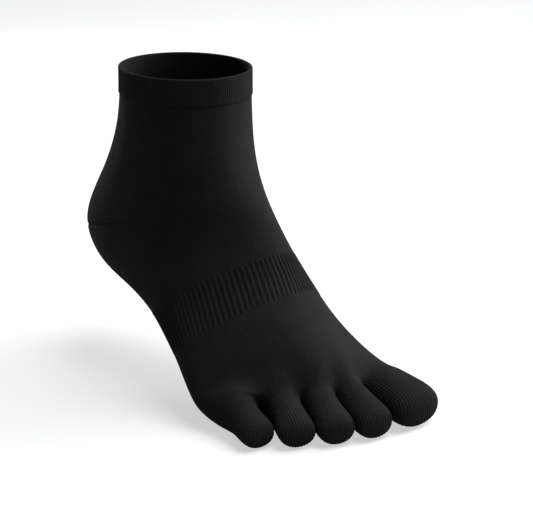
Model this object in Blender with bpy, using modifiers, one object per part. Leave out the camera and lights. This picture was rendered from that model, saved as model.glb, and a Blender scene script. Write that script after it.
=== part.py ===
"""Toe sock for a right foot, hollow as knitted, in the form it has when worn with the heel raised.

Metres, +Z up, +X towards the toes, +Y towards the big toe side. The origin is the centre of the rim.
The whole sock is one coarse cage of sections with five toe tubes grown from its front edge. A
Subdivision Surface turns the cage into the knitted skin, and each zone of the skin gets its own wall and
is its own object.
"""
import math
from typing import NamedTuple

import bmesh
import bpy
from mathutils import Vector

# Overall sizes
SOLE_LENGTH = 0.200      # back of the heel to the toe roots, with the heel raised
TOE_LENGTH = 0.036       # big toe, from its root to its tip
BALL_WIDTH = 0.108       # across the ball of the foot
ANKLE_HEIGHT = 0.125     # ground to the front of the ankle
LEG_LENGTH = 0.0487      # front of the ankle to the rim
OPENING_LENGTH = 0.076   # rim, front to back
OPENING_WIDTH = 0.069    # rim, side to side
CUFF_HEIGHT = 0.0145     # doubled band at the top
ROOT_HEIGHT = 0.0265     # top of the toes at their roots
TOE_HEIGHT = 0.0250      # big toe, at its pad
WEB_DIP = 0.0082         # how far the webs lie under the toe tops
PAD_DROP = 0.0005        # how far cage points under the pads pass the ground, to bring the skin down to it
UNDER_SET_BACK = 0.0060  # how far behind their tops the toes' undersides start
WEB_UNDER = 0.0032       # height of the webs' undersides

# Knit
KNIT_WALL = 0.0013       # single knit
CUFF_WALL = 0.0018       # doubled knit
CUFF_STEP = 0.0006       # how far the cuff stands proud of the leg
SEAM_GAP = 0.0003        # clearance where two zones meet
BAND_RIBS = 96           # raised ribs round the arch band
RIB_DEPTH = 0.0006

COLUMNS = 24             # cage columns round each section
SKIN_LEVELS = 1          # subdivision of the cage
OPENING_CENTRE = 0.43 * SOLE_LENGTH   # behind the toes, over the ankle
RIM_CENTRE = Vector((OPENING_CENTRE, 0.0, ANKLE_HEIGHT + LEG_LENGTH))
PLACE_LAYER = "place"        # column and row of each corner on the cage
OUTWARD_LAYER = "outward"    # the whole skin's normal, kept when a zone is cut from it


class LegRow(NamedTuple):
    """A section between the cuff and the ankle, as shares of the way from one to the other."""
    name: str
    front_down: float
    front_out: float
    back_down: float
    back_out: float


class FootRow(NamedTuple):
    """A section of the foot. x is in shares of the sole's length, z of the ankle's height, half widths of
    the ball's width. crest leans the top towards the big toe, drop lowers the sides, hollow lifts the inner
    arch, sweep takes the little toe's side back, and fan moves the columns to where the toes need them."""
    name: str
    front_x: float
    front_z: float
    back_x: float
    back_z: float
    lateral: float
    medial: float
    crest: float
    drop: float
    blunt: float
    hollow: float
    sweep: float
    fan: float


class Toe(NamedTuple):
    """A toe tube: length and height in shares of the big toe's, width and tip place of the ball's width."""
    name: str
    length: float
    tip_y: float
    width: float
    height: float
    root: float


class ToeRing(NamedTuple):
    """A section of a toe: place along it, width, top and underside in shares of the toe's own sizes."""
    along: float
    width: float
    top: float
    under: float
    root_share: float


LEG_ROWS = (
    LegRow("leg_upper", 0.41, 0.14, 0.32, 0.14),
    LegRow("leg_lower", 0.75, 0.50, 0.64, 0.48),
)
FOOT_ROWS = (
    # name, front x and z, back x and z, half widths, crest, drop, blunt, hollow, sweep, fan
    FootRow("ankle",     0.657, 1.000,  0.128, 0.872,  0.322, 0.324, 0.02, 0.00, 1.0, 0.00, 0.00, 0.00),
    FootRow("heel_up",   0.679, 0.944,  0.053, 0.726,  0.322, 0.324, 0.04, 0.00, 1.0, 0.00, 0.00, 0.00),
    FootRow("heel_back", 0.706, 0.886,  0.004, 0.554,  0.325, 0.319, 0.06, 0.00, 0.9, 0.00, 0.00, 0.00),
    FootRow("heel_low",  0.729, 0.828,  0.108, 0.398,  0.326, 0.306, 0.10, 0.05, 0.8, 0.00, 0.00, 0.00),
    FootRow("arch_back", 0.750, 0.755,  0.290, 0.350,  0.329, 0.292, 0.16, 0.10, 0.8, 0.04, 0.00, 0.00),
    FootRow("band_top",  0.775, 0.671,  0.438, 0.292,  0.356, 0.301, 0.20, 0.18, 0.8, 0.06, 0.00, 0.00),
    FootRow("band_mid",  0.805, 0.586,  0.528, 0.240,  0.386, 0.329, 0.22, 0.25, 0.8, 0.06, 0.03, 0.00),
    FootRow("band_low",  0.844, 0.518,  0.613, 0.190,  0.414, 0.380, 0.20, 0.32, 0.8, 0.04, 0.10, 0.15),
    FootRow("instep",    0.886, 0.447,  0.698, 0.125,  0.442, 0.435, 0.15, 0.38, 0.8, 0.02, 0.25, 0.35),
    FootRow("forefoot",  0.926, 0.381,  0.778, 0.060,  0.460, 0.492, 0.10, 0.40, 0.8, 0.00, 0.45, 0.60),
    FootRow("ball",      0.962, 0.322,  0.855, 0.018,  0.473, 0.530, 0.06, 0.38, 0.8, 0.00, 0.65, 0.85),
)
# Ends of the toe roots, little toe first: y in shares of the ball's width, x of the sole's length
ROOT_ENDS = ((-0.450, 0.835), (-0.241, 0.922), (-0.083, 0.967), (0.079, 1.000), (0.222, 1.010),
             (0.504, 0.985))
TOES = (
    Toe("toe_little", 0.73, -0.381, 0.166, 0.68, 1.07),
    Toe("toe_fourth", 0.735, -0.243, 0.178, 0.70, 1.09),
    Toe("toe_middle", 0.80, -0.080, 0.180, 0.74, 1.09),
    Toe("toe_second", 0.85, 0.112, 0.187, 0.78, 1.10),
    Toe("toe_big", 0.99, 0.365, 0.269, 0.975, 1.06),
)
TOE_RINGS = (
    ToeRing(0.20, 0.91, 1.06, 0.10, 0.50),
    ToeRing(0.50, 0.97, 1.02, 0.05, 0.15),
    ToeRing(0.78, 1.05, 0.99, 0.02, 0.00),
    ToeRing(0.97, 0.97, 0.82, 0.08, 0.00),
)
TIP_ALONG, TIP_HEIGHT = 1.03, 0.44
TOE_SIDES = 8
SWEEP_SLOPE = 0.6        # run back for each unit outwards where sweep is 1
INNER_DROP = 0.5         # the inner side drops this share of what the outer one does
EDGE_UPPER, EDGE_MIDDLE, EDGE_LOWER = 0.81, 0.43, 0.10   # heights at the front edge's ends, of the toe's top
EDGE_INWARD = 0.042      # how far the upper and lower ones stand in, of the ball's width

# Columns of the front edge that each toe takes over: tops, undersides, and the web points between toes
TOP_COLUMNS = (20, 22, 0, 2, 4)
UNDER_COLUMNS = (16, 14, 12, 10, 8)
WEB_TOPS = (21, 23, 1, 3)
WEB_UNDERS = (15, 13, 11, 9)

CHARCOAL = (0.018, 0.018, 0.019, 1.0)
BAND_CHARCOAL = (0.015, 0.015, 0.016, 1.0)
TOE_CHARCOAL = (0.016, 0.016, 0.017, 1.0)


def clear_scene():
    """Remove the objects that the scene holds."""
    for old in list(bpy.data.objects):
        bpy.data.objects.remove(old, do_unlink=True)


def mix(a, b, share):
    """Value a share of the way from a to b."""
    return a + (b - a) * share


def section(front, back, lateral, medial, row=None):
    """Closed section through a front and a back point (x, z), with its half widths at the sides."""
    crest, drop, blunt, hollow, sweep = row[7:12] if row else (0.0, 0.0, 1.0, 0.0, 0.0)
    middle = ((front[0] + back[0]) / 2, (front[1] + back[1]) / 2)
    half = ((front[0] - back[0]) / 2, (front[1] - back[1]) / 2)
    points = []
    for k in range(COLUMNS):
        angle = 2 * math.pi * k / COLUMNS
        up, out = math.cos(angle), math.sin(angle)
        height = math.copysign(abs(up) ** (1.0 if up > 0 else blunt), up)
        side = medial if out > 0 else lateral
        y = out * side + crest * (lateral + medial) / 2 * max(0.0, height)
        height -= drop * out * out * (INNER_DROP if out > 0 else 1.0)
        x = middle[0] + half[0] * height + sweep * SWEEP_SLOPE * min(0.0, y)
        z = middle[1] + half[1] * height
        if up < 0 < out:
            z += 2 * hollow * BALL_WIDTH * -up * out
        points.append(Vector((x, y, z)))
    return points


def root_top(index):
    """Height of a toe's top at its root."""
    return TOES[index].root * ROOT_HEIGHT


def front_edge():
    """Front edge of the body: the line where the toes grow, with a dip at each web."""
    ends = [(y * BALL_WIDTH, x * SOLE_LENGTH) for y, x in ROOT_ENDS]
    edge = [None] * COLUMNS
    for i in range(5):
        y = (ends[i][0] + ends[i + 1][0]) / 2
        x = (ends[i][1] + ends[i + 1][1]) / 2
        edge[TOP_COLUMNS[i]] = Vector((x + UNDER_SET_BACK / 3, y, root_top(i)))
        edge[UNDER_COLUMNS[i]] = Vector((x - UNDER_SET_BACK, y, -PAD_DROP))
    for i in range(4):
        y, x = ends[i + 1]
        top = (root_top(i) + root_top(i + 1)) / 2
        edge[WEB_TOPS[i]] = Vector((x, y, top - WEB_DIP))
        edge[WEB_UNDERS[i]] = Vector((x - UNDER_SET_BACK, y, WEB_UNDER))
    for middle, upper, lower, (y, x), toe in ((18, 19, 17, ends[0], 0), (6, 5, 7, ends[5], 4)):
        inward = EDGE_INWARD * BALL_WIDTH * (1 if toe == 0 else -1)
        top = root_top(toe)
        edge[middle] = Vector((x, y, EDGE_MIDDLE * top))
        edge[upper] = Vector((x + UNDER_SET_BACK / 2, y + inward, EDGE_UPPER * top))
        edge[lower] = Vector((x - UNDER_SET_BACK / 2, y + inward, EDGE_LOWER * top))
    return edge


def body_sections():
    """Sections from the rim down to the front edge, and their names."""
    rim_z = ANKLE_HEIGHT + LEG_LENGTH
    edge = front_edge()
    names, rows = [], []

    def opening(name, z):
        front, back = OPENING_CENTRE + OPENING_LENGTH / 2, OPENING_CENTRE - OPENING_LENGTH / 2
        names.append(name)
        rows.append(section((front, z), (back, z), OPENING_WIDTH / 2, OPENING_WIDTH / 2))
        return (front, z), (back, z)

    opening("rim", rim_z)
    cuff_front, cuff_back = opening("cuff_low", rim_z - CUFF_HEIGHT)
    ankle = FOOT_ROWS[0]
    ankle_front = (ankle.front_x * SOLE_LENGTH, ankle.front_z * ANKLE_HEIGHT)
    ankle_back = (ankle.back_x * SOLE_LENGTH, ankle.back_z * ANKLE_HEIGHT)
    for row in LEG_ROWS:
        front = (mix(cuff_front[0], ankle_front[0], row.front_out),
                 mix(cuff_front[1], ankle_front[1], row.front_down))
        back = (mix(cuff_back[0], ankle_back[0], row.back_out),
                mix(cuff_back[1], ankle_back[1], row.back_down))
        lateral = mix(OPENING_WIDTH / 2, ankle.lateral * BALL_WIDTH, row.front_down)
        medial = mix(OPENING_WIDTH / 2, ankle.medial * BALL_WIDTH, row.front_down)
        names.append(row.name)
        rows.append(section(front, back, lateral, medial))
    low, high = ROOT_ENDS[0][0] * BALL_WIDTH, ROOT_ENDS[-1][0] * BALL_WIDTH
    for row in FOOT_ROWS:
        lateral, medial = row.lateral * BALL_WIDTH, row.medial * BALL_WIDTH
        points = section((row.front_x * SOLE_LENGTH, row.front_z * ANKLE_HEIGHT),
                         (row.back_x * SOLE_LENGTH, row.back_z * ANKLE_HEIGHT), lateral, medial, row)
        for point, target in zip(points, edge):
            across = (target.y - low) / (high - low)
            point.y = mix(point.y, mix(-lateral, medial, across), row.fan)
        names.append(row.name)
        rows.append(points)
    names.append("front_edge")
    rows.append(edge)
    return names, rows


def toe_sections(toe, root):
    """Sections of one toe tube and its tip, from the eight points of its root."""
    spline_shrink = 3 / (2 + math.cos(2 * math.pi / TOE_SIDES))
    start = Vector(((root[0].x + root[4].x) / 2, (root[2].y + root[6].y) / 2))
    reach = toe.length * TOE_LENGTH
    sideways = toe.tip_y * BALL_WIDTH - start.y
    along = Vector((math.sqrt(max(reach * reach - sideways * sideways, 0.0)), sideways)).normalized()
    across = Vector((-along.y, along.x))
    height = toe.height * TOE_HEIGHT
    rings = []
    for ring in TOE_RINGS:
        centre = start + along * reach * ring.along
        top = mix(height * ring.top, root[0].z, ring.root_share)
        under = height * ring.under
        points = []
        for k in range(TOE_SIDES):
            angle = 2 * math.pi * k / TOE_SIDES
            side = centre + across * math.sin(angle) * toe.width * BALL_WIDTH / 2 * ring.width * spline_shrink
            z = (top + under) / 2 + math.cos(angle) * (top - under) / 2 * spline_shrink
            points.append(Vector((side.x, side.y, z)))
        rings.append(points)
    tip = start + along * reach * TIP_ALONG
    return rings, Vector((tip.x, tip.y, height * TIP_HEIGHT))


def build_form():
    """The sock as one smooth open skin, its faces tagged with their zones, and the zones' names."""
    names, rows = body_sections()
    starts = {"cuff": names.index("rim"), "leg_and_heel": names.index("cuff_low"),
              "arch_band": names.index("band_top"), "forefoot": names.index("band_low")}
    cage = bmesh.new()
    place = cage.loops.layers.uv.new(PLACE_LAYER)
    grid = [[cage.verts.new(point - RIM_CENTRE) for point in row] for row in rows]
    for r in range(len(grid) - 1):
        zone = max(index for index, start in enumerate(starts.values()) if start <= r)
        for k in range(COLUMNS):
            after = (k + 1) % COLUMNS
            face = cage.faces.new((grid[r][k], grid[r + 1][k], grid[r + 1][after], grid[r][after]))
            face.material_index = zone
            for loop, spot in zip(face.loops, ((k, r), (k, r + 1), (k + 1, r + 1), (k + 1, r))):
                loop[place].uv = spot
    edge = grid[-1]
    webs = [cage.verts.new((edge[top].co + edge[under].co) / 2) for top, under in zip(WEB_TOPS, WEB_UNDERS)]
    for index, toe in enumerate(TOES):
        grow_toe(cage, toe, toe_root(index, edge, webs), len(starts) + index)
    return subdivide(cage), list(starts) + [toe.name for toe in TOES]


def toe_root(index, edge, webs):
    """The eight vertices that a toe grows from, from its top round by the big toe's side."""
    if index == 0:
        return [edge[20], edge[21], webs[0], edge[15], edge[16], edge[17], edge[18], edge[19]]
    if index == 4:
        return [edge[4], edge[5], edge[6], edge[7], edge[8], edge[9], webs[3], edge[3]]
    return [edge[TOP_COLUMNS[index]],
            edge[WEB_TOPS[index]], webs[index], edge[WEB_UNDERS[index]],
            edge[UNDER_COLUMNS[index]],
            edge[WEB_UNDERS[index - 1]], webs[index - 1], edge[WEB_TOPS[index - 1]]]


def grow_toe(cage, toe, root, zone):
    """Add one toe's rings and its closed tip to the cage."""
    rings, tip = toe_sections(toe, [vert.co + RIM_CENTRE for vert in root])
    before = root
    for ring in rings:
        now = [cage.verts.new(point - RIM_CENTRE) for point in ring]
        for k in range(TOE_SIDES):
            after = (k + 1) % TOE_SIDES
            cage.faces.new((before[k], now[k], now[after], before[after])).material_index = zone
        before = now
    end = cage.verts.new(tip - RIM_CENTRE)
    for k in range(0, TOE_SIDES, 2):
        cap = (before[k], end, before[(k + 2) % TOE_SIDES], before[k + 1])
        cage.faces.new(cap).material_index = zone


def subdivide(cage):
    """Smooth the cage with a Subdivision Surface and return the skin as a bmesh."""
    mesh = bpy.data.meshes.new("sock_form")
    cage.to_mesh(mesh)
    cage.free()
    form = bpy.data.objects.new("sock_form", mesh)
    bpy.context.scene.collection.objects.link(form)
    smooth = form.modifiers.new("skin", "SUBSURF")
    smooth.levels = SKIN_LEVELS
    smooth.render_levels = SKIN_LEVELS
    smooth.uv_smooth = "NONE"
    bpy.context.view_layer.update()
    skin_mesh = bpy.data.meshes.new_from_object(form.evaluated_get(bpy.context.evaluated_depsgraph_get()))
    bpy.data.objects.remove(form)
    skin = bmesh.new()
    skin.from_mesh(skin_mesh)
    bpy.data.meshes.remove(skin_mesh)
    return skin


def cut_zone(skin, zone):
    """One zone of the skin as an open sheet that keeps the whole skin's normals, drawn back at its seams."""
    sheet = skin.copy()
    sheet.normal_update()
    outward = sheet.verts.layers.float_vector.new(OUTWARD_LAYER)
    for vert in sheet.verts:
        vert[outward] = vert.normal
        if vert.co.z > -SEAM_GAP:
            vert[outward] = Vector((vert.normal.x, vert.normal.y, 0.0)).normalized()
    others = [face for face in sheet.faces if face.material_index != zone]
    bmesh.ops.delete(sheet, geom=others, context="FACES")
    moves = {}
    for vert in sheet.verts:
        inner = [edge.other_vert(vert).co for edge in vert.link_edges if not edge.is_boundary]
        ends = [edge.other_vert(vert).co for edge in vert.link_edges if edge.is_boundary]
        if len(ends) == 2 and vert.co.z < -SEAM_GAP:
            seam = (ends[0] - ends[1]).normalized()
            way = (sum(inner, Vector()) / len(inner) if inner else (ends[0] + ends[1]) / 2) - vert.co
            moves[vert] = (way - seam * way.dot(seam)).normalized() * SEAM_GAP / 2
    for vert, move in moves.items():
        vert.co += move
    return sheet


def thicken(sheet, wall, proud=0.0):
    """Close an open sheet into a wall: an inner face a wall away, and the cut edges between. proud lifts
    the outer face."""
    outward = sheet.verts.layers.float_vector[OUTWARD_LAYER]
    outer = list(sheet.verts)
    cut = [edge for edge in sheet.edges if edge.is_boundary]
    skin_faces = list(sheet.faces)
    inside = {vert: sheet.verts.new(vert.co - vert[outward] * wall) for vert in outer}
    for face in skin_faces:
        sheet.faces.new([inside[vert] for vert in reversed(face.verts)])
    for edge in cut:
        loop = edge.link_loops[0]
        a, b = loop.vert, loop.link_loop_next.vert
        sheet.faces.new((b, a, inside[a], inside[b]))
    for vert in outer:
        vert.co += vert[outward] * proud
    return sheet


def band_places(sheet):
    """Point and outward normal at each row and column of the arch band, and its rows in order."""
    place = sheet.loops.layers.uv[PLACE_LAYER]
    outward = sheet.verts.layers.float_vector[OUTWARD_LAYER]
    fineness = 2 ** SKIN_LEVELS
    places = {}
    for face in sheet.faces:
        for loop in face.loops:
            column, row = round(loop[place].uv.x * fineness), round(loop[place].uv.y * fineness)
            places[row, column % (COLUMNS * fineness)] = (loop.vert.co, loop.vert[outward])
    return places, sorted({row for row, column in places})


def ribbed_wall(sheet, wall):
    """The arch band's wall: its outer face is cut into fine columns, and every second one stands proud."""
    places, rows = band_places(sheet)
    columns = len(places) // len(rows)
    fine = 2 * max(1, round(BAND_RIBS / columns))
    shell = bmesh.new()
    outer, inner = {}, {}
    for row in rows:
        for column in range(columns):
            (here, out_here), (after, out_after) = places[row, column], places[row, (column + 1) % columns]
            inner[row, column] = shell.verts.new(here - out_here * wall)
            for step in range(fine):
                lift = out_here.lerp(out_after, step / fine).normalized() * RIB_DEPTH / 2
                point = here.lerp(after, step / fine) + (lift if step % 2 else -lift)
                outer[row, column * fine + step] = shell.verts.new(point)
    for upper, lower in zip(rows, rows[1:]):
        for k in range(columns * fine):
            after = (k + 1) % (columns * fine)
            shell.faces.new((outer[upper, k], outer[lower, k], outer[lower, after], outer[upper, after]))
        for k in range(columns):
            after = (k + 1) % columns
            shell.faces.new((inner[upper, after], inner[lower, after], inner[lower, k], inner[upper, k]))
    for row, is_last in ((rows[0], False), (rows[-1], True)):
        for k in range(columns):
            ridge = [outer[row, (k * fine + step) % (columns * fine)] for step in range(fine + 1)]
            ring = ridge + [inner[row, (k + 1) % columns], inner[row, k]]
            shell.faces.new(reversed(ring) if is_last else ring)
    bmesh.ops.triangulate(shell, faces=[face for face in shell.faces if len(face.verts) > 4])
    sheet.free()
    return shell


def finish_object(name, shell, colour, collection):
    """Turn a closed shell into a named object with its own charcoal knit material."""
    for face in shell.faces:
        face.material_index = 0
    mesh = bpy.data.meshes.new(name)
    shell.to_mesh(mesh)
    shell.free()
    mesh.shade_smooth()
    mesh.set_sharp_from_angle(angle=math.radians(50))
    material = bpy.data.materials.new(name + "_knit")
    material.use_nodes = True
    shader = material.node_tree.nodes["Principled BSDF"]
    shader.inputs["Base Color"].default_value = colour
    shader.inputs["Roughness"].default_value = 0.92
    shader.inputs["Metallic"].default_value = 0.0
    mesh.materials.append(material)
    collection.objects.link(bpy.data.objects.new(name, mesh))


def main():
    """Build the sock, zone by zone."""
    clear_scene()
    collection = bpy.data.collections.new("toe_sock")
    bpy.context.scene.collection.children.link(collection)
    skin, zones = build_form()
    for zone, name in enumerate(zones):
        sheet = cut_zone(skin, zone)
        if name == "cuff":
            finish_object(name, thicken(sheet, CUFF_WALL - CUFF_STEP, CUFF_STEP), CHARCOAL, collection)
        elif name == "arch_band":
            finish_object(name, ribbed_wall(sheet, KNIT_WALL), BAND_CHARCOAL, collection)
        else:
            colour = TOE_CHARCOAL if name.startswith("toe") else CHARCOAL
            finish_object(name, thicken(sheet, KNIT_WALL), colour, collection)
    skin.free()


main()
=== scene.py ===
"""The looks of a charcoal toe sock: knitted skins with real ribs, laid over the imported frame.

The same coarse cage that shapes the solids is smoothed much finer here. The leg, heel, arch band and forefoot
are sampled from its columns and rows, the toes from its tubes, and each zone gets its own knit in relief.
"""

import logging
import math
from dataclasses import dataclass, field, replace
from enum import Enum
from typing import NamedTuple, Optional, Union

import bpy
import numpy as np
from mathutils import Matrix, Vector


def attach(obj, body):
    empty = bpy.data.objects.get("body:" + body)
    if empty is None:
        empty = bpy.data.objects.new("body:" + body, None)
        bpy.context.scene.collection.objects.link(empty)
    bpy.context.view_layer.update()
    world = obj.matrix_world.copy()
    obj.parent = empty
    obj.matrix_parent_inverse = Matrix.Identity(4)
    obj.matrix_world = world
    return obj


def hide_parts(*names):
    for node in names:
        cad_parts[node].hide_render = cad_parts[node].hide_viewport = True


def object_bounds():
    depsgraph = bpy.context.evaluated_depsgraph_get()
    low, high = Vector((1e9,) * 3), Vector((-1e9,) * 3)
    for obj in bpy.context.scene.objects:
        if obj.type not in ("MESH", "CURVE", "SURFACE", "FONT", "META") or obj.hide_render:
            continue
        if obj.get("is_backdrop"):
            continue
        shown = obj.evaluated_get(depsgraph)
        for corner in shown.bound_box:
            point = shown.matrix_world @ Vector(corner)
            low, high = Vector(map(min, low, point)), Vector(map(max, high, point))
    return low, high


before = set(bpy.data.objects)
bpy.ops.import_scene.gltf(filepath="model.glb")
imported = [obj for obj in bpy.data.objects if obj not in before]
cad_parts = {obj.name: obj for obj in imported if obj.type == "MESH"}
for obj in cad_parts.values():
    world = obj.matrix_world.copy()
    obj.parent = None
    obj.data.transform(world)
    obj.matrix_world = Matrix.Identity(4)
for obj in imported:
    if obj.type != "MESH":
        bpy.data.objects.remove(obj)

log = logging.getLogger("toe_sock")

COLUMNS = 24             # cage columns round the sock
SKIN_LEVELS = 5          # smoothing of the fine skin
LINING_LEVELS = 3        # smoothing of the toes' inner faces
TURN = 2 * math.pi


class Zone(Enum):
    """The knitted zones, by the name of the node that each piece stands for."""
    CUFF = "cuff"
    LEG_AND_HEEL = "leg_and_heel"
    ARCH_BAND = "arch_band"
    FOREFOOT = "forefoot"


class LegRow(NamedTuple):
    """A section between the cuff and the ankle, as shares of the way from one to the other."""
    name: str
    front_down: float
    front_out: float
    back_down: float
    back_out: float


class FootRow(NamedTuple):
    """A section of the foot. x is in shares of the sole's length, z of the ankle's height, half widths of
    the ball's width. crest leans the top towards the big toe, drop lowers the sides, hollow lifts the inner
    arch, sweep takes the little toe's side back, and fan moves the columns to where the toes need them."""
    name: str
    front_x: float
    front_z: float
    back_x: float
    back_z: float
    lateral: float
    medial: float
    crest: float
    drop: float
    blunt: float
    hollow: float
    sweep: float
    fan: float


class ToeRow(NamedTuple):
    """A toe tube: length and height in shares of the big toe's, width and tip place of the ball's width."""
    name: str
    length: float
    tip_y: float
    width: float
    height: float
    root: float
    ribs: int


class ToeRing(NamedTuple):
    """A section of a toe: place along it, width, top and underside in shares of the toe's own sizes."""
    along: float
    width: float
    top: float
    under: float
    root_share: float


LEG_ROWS = (
    LegRow("leg_upper", 0.41, 0.14, 0.32, 0.14),
    LegRow("leg_lower", 0.75, 0.50, 0.64, 0.48),
)
FOOT_ROWS = (
    # name, front x and z, back x and z, half widths, crest, drop, blunt, hollow, sweep, fan
    FootRow("ankle",     0.657, 1.000,  0.128, 0.872,  0.322, 0.324, 0.02, 0.00, 1.0, 0.00, 0.00, 0.00),
    FootRow("heel_up",   0.679, 0.944,  0.053, 0.726,  0.322, 0.324, 0.04, 0.00, 1.0, 0.00, 0.00, 0.00),
    FootRow("heel_back", 0.706, 0.886,  0.004, 0.554,  0.325, 0.319, 0.06, 0.00, 0.9, 0.00, 0.00, 0.00),
    FootRow("heel_low",  0.729, 0.828,  0.108, 0.398,  0.326, 0.306, 0.10, 0.05, 0.8, 0.00, 0.00, 0.00),
    FootRow("arch_back", 0.750, 0.755,  0.290, 0.350,  0.329, 0.292, 0.16, 0.10, 0.8, 0.04, 0.00, 0.00),
    FootRow("band_top",  0.775, 0.671,  0.438, 0.292,  0.356, 0.301, 0.20, 0.18, 0.8, 0.06, 0.00, 0.00),
    FootRow("band_mid",  0.805, 0.586,  0.528, 0.240,  0.386, 0.329, 0.22, 0.25, 0.8, 0.06, 0.03, 0.00),
    FootRow("band_low",  0.844, 0.518,  0.613, 0.190,  0.414, 0.380, 0.20, 0.32, 0.8, 0.04, 0.10, 0.15),
    FootRow("instep",    0.886, 0.447,  0.698, 0.125,  0.442, 0.435, 0.15, 0.38, 0.8, 0.02, 0.25, 0.35),
    FootRow("forefoot",  0.926, 0.381,  0.778, 0.060,  0.460, 0.492, 0.10, 0.40, 0.8, 0.00, 0.45, 0.60),
    FootRow("ball",      0.962, 0.322,  0.855, 0.018,  0.473, 0.530, 0.06, 0.38, 0.8, 0.00, 0.65, 0.85),
)
# Ends of the toe roots, little toe first: y in shares of the ball's width, x of the sole's length
ROOT_ENDS = ((-0.450, 0.835), (-0.241, 0.922), (-0.083, 0.967), (0.079, 1.000), (0.222, 1.010),
             (0.504, 0.985))
TOE_ROWS = (
    ToeRow("toe_little", 0.73, -0.381, 0.166, 0.68, 1.07, 42),
    ToeRow("toe_fourth", 0.735, -0.243, 0.178, 0.70, 1.09, 42),
    ToeRow("toe_middle", 0.80, -0.080, 0.180, 0.74, 1.09, 44),
    ToeRow("toe_second", 0.85, 0.112, 0.187, 0.78, 1.10, 46),
    ToeRow("toe_big", 0.99, 0.365, 0.269, 0.975, 1.06, 54),
)
TOE_RINGS = (
    ToeRing(0.20, 0.91, 1.06, 0.10, 0.50),
    ToeRing(0.50, 0.97, 1.02, 0.05, 0.15),
    ToeRing(0.78, 1.05, 0.99, 0.02, 0.00),
    ToeRing(0.97, 0.97, 0.82, 0.08, 0.00),
)
TOE_SIDES = 8

# Columns of the front edge that each toe takes over: tops, undersides, and the web points between toes
TOP_COLUMNS = (20, 22, 0, 2, 4)
UNDER_COLUMNS = (16, 14, 12, 10, 8)
WEB_TOPS = (21, 23, 1, 3)
WEB_UNDERS = (15, 13, 11, 9)


def mix(a: float, b: float, share: float) -> float:
    """Value a share of the way from a to b."""
    return a + (b - a) * share


def ease(low: float, high: float, values: np.ndarray) -> np.ndarray:
    """Smooth step from 0 at low to 1 at high."""
    t = np.clip((values - low) / (high - low), 0.0, 1.0)
    return t * t * (3 - 2 * t)


@dataclass(frozen=True)
class SockSizes:
    """The driving sizes of the sock, in metres, as the solids have them."""
    sole_length: float = 0.200
    toe_length: float = 0.036
    ball_width: float = 0.108
    ankle_height: float = 0.125
    leg_length: float = 0.0487
    opening_length: float = 0.076
    opening_width: float = 0.069
    cuff_height: float = 0.0145
    root_height: float = 0.0265
    toe_height: float = 0.0250
    web_dip: float = 0.0082
    web_under: float = 0.0032
    pad_drop: float = 0.0005
    under_set_back: float = 0.0060
    knit_wall: float = 0.0013
    cuff_wall: float = 0.0018
    cuff_step: float = 0.0006

    @property
    def opening_centre(self) -> float:
        """Place of the opening's centre along the sole."""
        return 0.43 * self.sole_length

    @property
    def rim_centre(self) -> Vector:
        """Centre of the rim over the ground, which is the frame's origin."""
        return Vector((self.opening_centre, 0.0, self.ankle_height + self.leg_length))


SIZES = SockSizes()


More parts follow.
